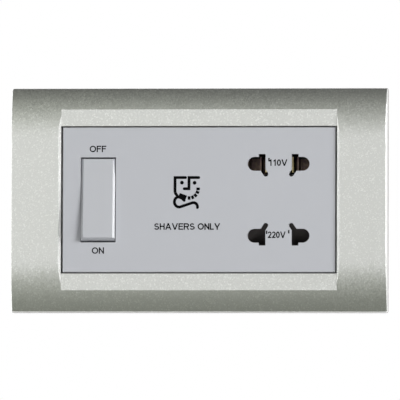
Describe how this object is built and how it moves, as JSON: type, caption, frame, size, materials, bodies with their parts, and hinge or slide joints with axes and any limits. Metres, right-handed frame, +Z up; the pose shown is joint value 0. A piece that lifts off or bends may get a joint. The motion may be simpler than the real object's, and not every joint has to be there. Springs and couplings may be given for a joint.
{
  "type": "shaver socket",
  "caption": "Flush wall shaver socket: arched frame, grey module with rocker switch, two round and flat pin outlets, shutter and isolating transformer behind.",
  "frame": {"origin": "middle of the wall plane, midway between the two box screws, at the mounting frame's back", "axes": "+X to the right as seen from the room, +Y into the wall, +Z up"},
  "size_m": [0.146, 0.0497, 0.087],
  "materials": {
    "silver_paint": "greenish silver metallic paint, satin",
    "light_plastic": "satin moulded",
    "grey_plastic": "fine satin moulded",
    "housing_plastic": "moulded",
    "black_plastic": "moulded",
    "bobbin_plastic": "moulded",
    "nylon": "moulded",
    "zinc_steel": "zinc plated",
    "spring_steel": "drawn wire",
    "core_steel": "stacked laminations",
    "brass": "stamped",
    "copper": "bright copper",
    "coil_tape": "copper coil under yellow tape"
  },
  "bodies": {
    "housing": {"clamp_screws": "zinc_steel", "coil_bobbin": "bobbin_plastic", "common_busbar": "brass", "contact_carrier": "black_plastic", "earth_terminal": "brass", "face_frame": "silver_paint", "fixed_contact": "brass", "housing_screws": "zinc_steel", "left_core_strap": "zinc_steel", "live_terminal": "brass", "lower_left_contact": "brass", "lower_right_contact": "brass", "module_fascia": "grey_plastic", "mounting_frame": "light_plastic", "neutral_terminal": "brass", "pivot_terminal": "brass", "primary_winding": "copper", "rear_housing": "housing_plastic", "right_core_strap": "zinc_steel", "secondary_winding": "coil_tape", "shutter_spring": "spring_steel", "strap_screws": "zinc_steel", "switch_base": "black_plastic", "terminal_block": "light_plastic", "thermal_cutout": "black_plastic", "transformer_core": "core_steel", "upper_left_contact": "brass", "upper_right_contact": "brass"},
    "rocker": {"rocker": "grey_plastic", "plunger_spring": "spring_steel"},
    "plunger": {"plunger": "nylon"},
    "seesaw": {"moving_contact": "copper"},
    "shutter": {"lower_shutter": "black_plastic"}
  },
  "joints": [
    {"name": "rocker_pivot", "type": "hinge", "parent": "housing", "child": "rocker", "pos_m": [-0.03905, -0.0049, 0], "axis": [1, 0, 0], "range_deg": [0, 12]},
    {"name": "plunger_slide", "type": "slide", "parent": "rocker", "child": "plunger", "axis": [0, -0.9945, 0.1045], "range_m": [0, 0.0005], "stiffness_N_per_m": 200, "springref_m": -0.003, "deforming": ["plunger_spring"]},
    {"name": "contact_tip", "type": "hinge", "parent": "housing", "child": "seesaw", "pos_m": [-0.03905, 0.00765, 0], "axis": [1, 0, 0], "range_deg": [-16, 0]},
    {"name": "shutter_lift", "type": "slide", "parent": "housing", "child": "shutter", "axis": [0, 0, 1], "range_m": [0, 0.0094], "stiffness_N_per_m": 40, "springref_m": -0.01, "deforming": ["shutter_spring"]}
  ],
  "couplings": [
    {"joint": "contact_tip", "follows": "rocker_pivot", "ratio": -1.3333}
  ]
}
